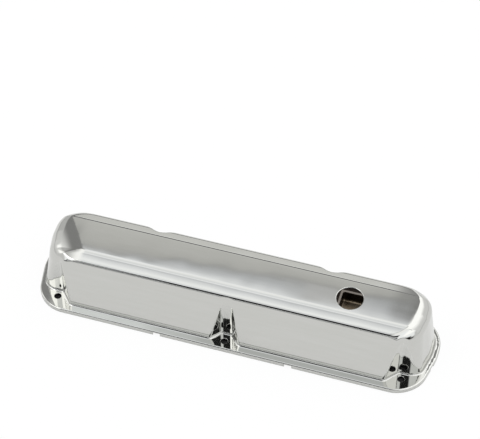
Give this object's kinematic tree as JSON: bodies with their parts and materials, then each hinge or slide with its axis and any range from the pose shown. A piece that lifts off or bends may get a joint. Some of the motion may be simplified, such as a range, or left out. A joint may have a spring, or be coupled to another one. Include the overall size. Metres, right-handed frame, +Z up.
{
  "type": "engine valve cover",
  "caption": "Long stamped valve cover: flange with turned-down lip and bolt holes, recesses for the bolts in both sides, sloped roof, round breather hole over an oil baffle.",
  "frame": {"origin": "centre of the bounding box's base, in the plane of the lip's lower rim", "axes": "+X along the cover to the end with the breather hole, +Y to the intake side with two bolt holes, +Z up to the roof"},
  "size_m": [0.4838, 0.114, 0.0774],
  "materials": {
    "chrome_plate": "polished",
    "baffle_steel": "satin"
  },
  "bodies": {
    "root": {"cover_shell": "chrome_plate", "breather_baffle": "baffle_steel"}
  },
  "joints": []
}
